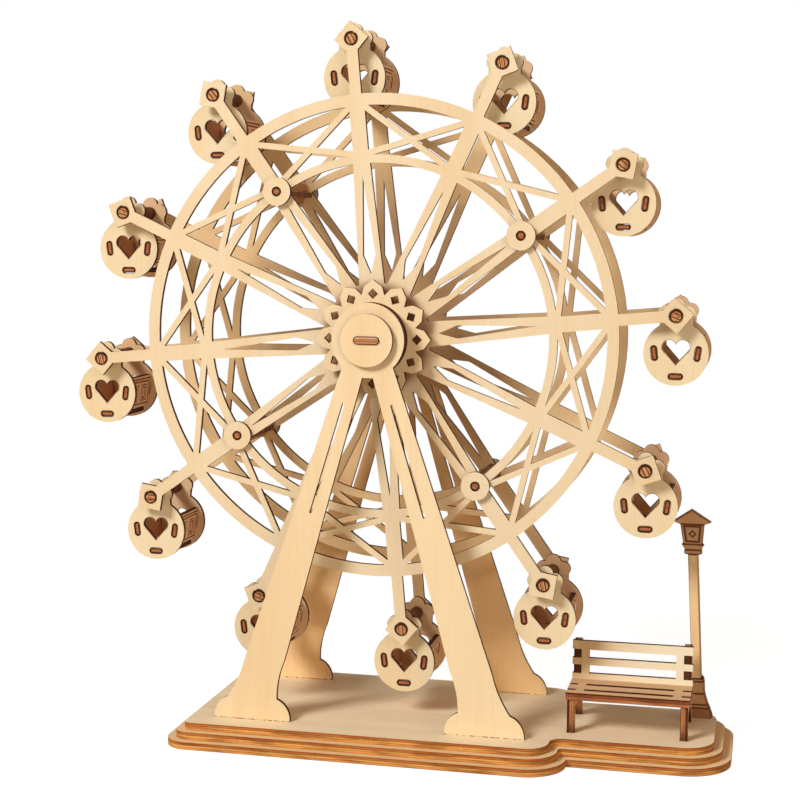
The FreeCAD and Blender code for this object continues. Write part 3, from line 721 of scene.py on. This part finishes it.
benchLook = {
    "seatTones": {"pale": (0.740, 0.495, 0.285, 1), "warm": (0.640, 0.395, 0.210, 1)},
    "cuts": {"scorchAmount": 0.45, "streakAlong": 0.07, "streakThrough": 0.5},
    "boardPitch": 3.0,
    "slotLevels": (5.1, 13.2),    # from the front of the seat
    "slotLine": ((17.25, 0.95), 0.60),    # half length and half width of a slot, line width
    "slotAmount": 0.80,
    "backDarkEnd": (0.680, 0.490, 0.270, 1),
    "backLitEnd": (0.920, 0.860, 0.660, 1),
    "backSlope": -0.6,
    "backSteps": (-34.0, 6.0),
    "backGrain": 0.12,
    "frameInnerFace": 20.65,      # from the middle of the bench
    "burnt": (0.060, 0.019, 0.008, 1),
    "feet": (-14.2, -9.0, 0.72),  # full below, gone above, amount
    "tenonsAbove": (2.0, 3.0),    # from the middle of the side frames
    "tenonsInFront": (6.6, 6.8, 0.90),    # full in front, gone behind, amount
    "legEdge": [
        (0.00, 0.140, 0.037, 0.013), (0.12, 0.390, 0.145, 0.055), (0.28, 0.600, 0.285, 0.125),
        (0.38, 0.300, 0.100, 0.037), (0.50, 0.580, 0.275, 0.120), (0.64, 0.410, 0.152, 0.059),
        (0.74, 0.110, 0.029, 0.011), (1.00, 0.080, 0.021, 0.008)],
    "seatEdge": [
        (0.00, 0.340, 0.118, 0.043), (0.10, 0.540, 0.232, 0.098), (0.40, 0.470, 0.185, 0.074),
        (0.48, 0.160, 0.044, 0.015), (0.60, 0.330, 0.105, 0.036), (0.78, 0.230, 0.068, 0.023),
        (0.86, 0.070, 0.019, 0.008), (1.00, 0.090, 0.026, 0.010)],
}


def backPaintedLight(tree, face, parts, ways):
    # painted light: the back is paler towards its right end, and darker towards its left end and its top
    slant = plus(tree, parts[0], product(tree, parts[2], benchLook["backSlope"]))
    along = softStep(tree, slant, *benchLook["backSteps"])
    tone = blendColours(tree, along, benchLook["backDarkEnd"], benchLook["backLitEnd"])
    return blendColours(tree, benchLook["backGrain"], tone, face)


def seatSlots(tree, parts, ways):
    # the laser browned the seat along its slots
    marks = [boxLine(tree, parts[0], parts[1], (0, level), *benchLook["slotLine"])
             for level in benchLook["slotLevels"]]
    return product(tree, highest(tree, *marks), benchLook["slotAmount"])


def darkFeet(tree, colour, place, parts, ways):
    # the feet, and the tenons that come through the back, are burnt darkest
    low = fadeOut(tree, parts[2], *benchLook["feet"])
    frontward = softStep(tree, product(tree, ways[1], -1.0), 0.6, 0.8)
    tenons = product(tree, softStep(tree, parts[2], *benchLook["tenonsAbove"]),
                     fadeOut(tree, parts[1], *benchLook["tenonsInFront"]), frontward)
    return blendColours(tree, highest(tree, low, tenons), colour, benchLook["burnt"])


benchMiddle = boxMiddle("bench_frames")
seatFront, seatBottom = (1000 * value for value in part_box("bench_seat")[0][1:])
backFront = 1000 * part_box("bench_back")[0].y
seatCorner = (boxMiddle("bench_seat")[0], seatFront, seatBottom)
backMiddle = (benchMiddle[0], 0, benchMiddle[2])
benchPitch = benchLook["boardPitch"]
dress(makePlywood("benchSeatPlywood", centre=seatCorner, sheetWay=2, mirrored=False, sheetPitch=benchPitch,
                  grainWay=0, engrave=seatSlots, edge=benchLook["seatEdge"], variety=11.5,
                  **benchLook["seatTones"], **benchLook["cuts"]), "bench_seat")
dress(makePlywood("benchBackPlywood", centre=backMiddle, mirrored=False, sheetStart=backFront, grainWay=0,
                  faceTint=backPaintedLight, variety=12.5, **benchLook["cuts"]), "bench_back")
dress(makePlywood("benchFramePlywood", centre=benchMiddle, sheetWay=0, sheetStart=benchLook["frameInnerFace"],
                  sheetPitch=benchPitch, edge=benchLook["legEdge"], endTint=darkFeet, variety=13.5,
                  **benchLook["seatTones"], **benchLook["cuts"]), "bench_frames")

# Street lamp

lampLook = {
    "footHalfWidth": 6.0,
    "deckTop": 9.0,
    "lean": 2.95,             # degrees from the upright
    "sheetStart": -3.0,
    "scorch": 0.5,
    # painted shade at the lamp's foot, where it stands on the deck
    "footShade": (0.300, 0.098, 0.036, 1),
    "tones": [                # from the foot up: where each one starts and is full, and its colour
        (4.0, 4.4, (0.560, 0.275, 0.130, 1)),
        (16.3, 16.6, (0.860, 0.610, 0.335, 1)),
        (67.5, 67.9, (0.520, 0.295, 0.165, 1)),
        (79.9, 80.3, (0.600, 0.320, 0.170, 1))],
    "grain": 0.16,
    "crossLines": (80.1, 71.9, 69.6, 67.8, 16.4, 15.2, 10.2, 5.6, 4.2),
    "crossWidth": 0.62,
    "windowMiddle": 76.2,
    "windowHalf": (2.9, 3.1),
    "windowFlare": 0.12,      # its half width grows by this for each millimetre of height
    "windowWidth": 0.80,
    "lozengeHalf": 1.25,
}


def lampAside(tree, parts):
    # sideways from the leaning middle line
    return plus(tree, parts[0], product(tree, parts[2], math.tan(math.radians(lampLook["lean"]))))


def lampTones(tree, face, parts, ways):
    tone = lampLook["footShade"]
    for starts, full, colour in lampLook["tones"]:
        tone = blendColours(tree, softStep(tree, parts[2], starts, full), tone, colour)
    return blendColours(tree, lampLook["grain"], tone, face)


def lampLines(tree, parts, ways):
    # lines across the lamp, and a window with a lozenge in its lantern
    marks = [levelLine(tree, parts[2], level, lampLook["crossWidth"]) for level in lampLook["crossLines"]]
    aside = absolute(tree, lampAside(tree, parts))
    above = minus(tree, parts[2], lampLook["windowMiddle"])
    halfWidth, halfHeight = lampLook["windowHalf"]
    spread = minus(tree, aside, calc(tree, "MULTIPLY_ADD", above, lampLook["windowFlare"], halfWidth))
    height = minus(tree, absolute(tree, above), halfHeight)
    marks.append(thinLine(tree, highest(tree, spread, height), lampLook["windowWidth"]))
    lozenge = minus(tree, plus(tree, aside, absolute(tree, above)), lampLook["lozengeHalf"])
    marks.append(thinLine(tree, lozenge, lampLook["windowWidth"]))
    return product(tree, highest(tree, *marks), facing(tree, ways[1], 0.5))


footX = 1000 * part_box("lamp_core")[1].x - lampLook["footHalfWidth"]
lampFoot = (footX, boxMiddle("lamp_core")[1], lampLook["deckTop"])
dress(makePlywood("lampPlywood", centre=lampFoot, mirrored=False, sheetStart=lampLook["sheetStart"],
                  variety=14.5, faceTint=lampTones, engrave=lampLines, scorchAmount=lampLook["scorch"]),
      "lamp_core", "lamp_faces")
print("bench, lamp and crank dressed")

# Floor

floorLook = {
    "size": 8.0,
    "level": -0.0002,
    "underneath": (0.66, 0.57, 0.46, 1),      # what the wood sees of the floor
    "shadowed": (0.250, 0.280, 0.320, 1),     # the share of the floor's white that shadows can darken
    "glow": 0.91,
    "fade": (0.20, 0.42),                     # past this, in metres, the floor is plain white
}


def cameraWhite(tree):
    rays = addNode(tree, "ShaderNodeLightPath")
    kinds = ("Is Camera Ray", "Is Glossy Ray", "Is Transmission Ray")
    return highest(tree, *[rays.outputs[kind] for kind in kinds])


def mixShaders(tree, factor, first, second):
    node = addNode(tree, "ShaderNodeMixShader")
    for socket, value in zip(node.inputs, (factor, first, second)):
        feed(tree, socket, value)
    return node.outputs[0]


def makeFloor():
    bpy.ops.mesh.primitive_plane_add(size=floorLook["size"], location=(0, 0, floorLook["level"]))
    floor = bpy.context.object
    floor.name = "floor"
    material = bpy.data.materials.new("paleFloor")
    tree = newTree(material)
    plain = shaderOf(tree, "ShaderNodeBsdfDiffuse", Color=floorLook["underneath"])
    lit = addNode(tree, "ShaderNodeAddShader")
    feed(tree, lit.inputs[0], shaderOf(tree, "ShaderNodeBsdfDiffuse", Color=floorLook["shadowed"]))
    feed(tree, lit.inputs[1], shaderOf(tree, "ShaderNodeEmission", Strength=floorLook["glow"]))
    parts = splitXyz(tree, addNode(tree, "ShaderNodeTexCoord").outputs["Object"])
    away = softStep(tree, distance(tree, parts[0], parts[1]), *floorLook["fade"])
    shown = mixShaders(tree, away, lit.outputs[0], shaderOf(tree, "ShaderNodeEmission"))
    finishTree(tree, "ShaderNodeOutputMaterial", mixShaders(tree, cameraWhite(tree), plain, shown))
    floor.data.materials.append(material)


makeFloor()

# World and lamps

lightLook = {
    "room": {"Color": (1.0, 0.70, 0.48, 1), "Strength": 0.25},
    "aim": (0, 0, 0.14),
    "lamps": {                # place, size, power and colour
        "keyLight": ((-0.95, -1.40, 1.30), 0.6, 34.2, (1.0, 0.985, 0.955)),
        "fillLight": ((1.3, -1.3, 0.55), 1.2, 8.2, (1.0, 0.86, 0.72)),
        "backLight": ((0.7, 1.6, 1.0), 1.6, 3.6, (1.0, 0.92, 0.82)),
    },
}


def makeWorld():
    world = bpy.data.worlds.new("softRoom")
    bpy.context.scene.world = world
    tree = newTree(world)
    room = shaderOf(tree, "ShaderNodeBackground", **lightLook["room"])
    white = shaderOf(tree, "ShaderNodeBackground", Color=(1, 1, 1, 1))
    finishTree(tree, "ShaderNodeOutputWorld", mixShaders(tree, cameraWhite(tree), room, white))


def makeLamp(name, place, size, power, colour):
    light = bpy.data.lights.new(name, "AREA")
    light.shape = "SQUARE"
    light.size = size
    light.energy = power
    light.color = colour
    lamp = bpy.data.objects.new(name, light)
    bpy.context.scene.collection.objects.link(lamp)
    lamp.location = place
    aim = Vector(lightLook["aim"]) - lamp.location
    lamp.rotation_euler = aim.to_track_quat("-Z", "Y").to_euler()


makeWorld()
for lampName, values in lightLook["lamps"].items():
    makeLamp(lampName, *values)

# Camera

cameraLook = {
    "place": (0.155233, -0.647313, 0.206267),
    "yaw": 13.024,
    "pitch": 5.901,
    "roll": 0.376,
    "lens": 73.31,
    "clip": (0.05, 20),
}
camera = bpy.data.objects.new("camera", bpy.data.cameras.new("camera"))
bpy.context.scene.collection.objects.link(camera)
camera.location = cameraLook["place"]
heading = Euler((math.radians(90 - cameraLook["pitch"]), 0, math.radians(cameraLook["yaw"]))).to_matrix()
camera.rotation_euler = (heading @ Matrix.Rotation(math.radians(cameraLook["roll"]), 3, "Z")).to_euler()
camera.data.lens = cameraLook["lens"]
camera.data.clip_start, camera.data.clip_end = cameraLook["clip"]
bpy.context.scene.camera = camera
bpy.context.scene.view_settings.view_transform = "Standard"
print("floor, light and camera ready")
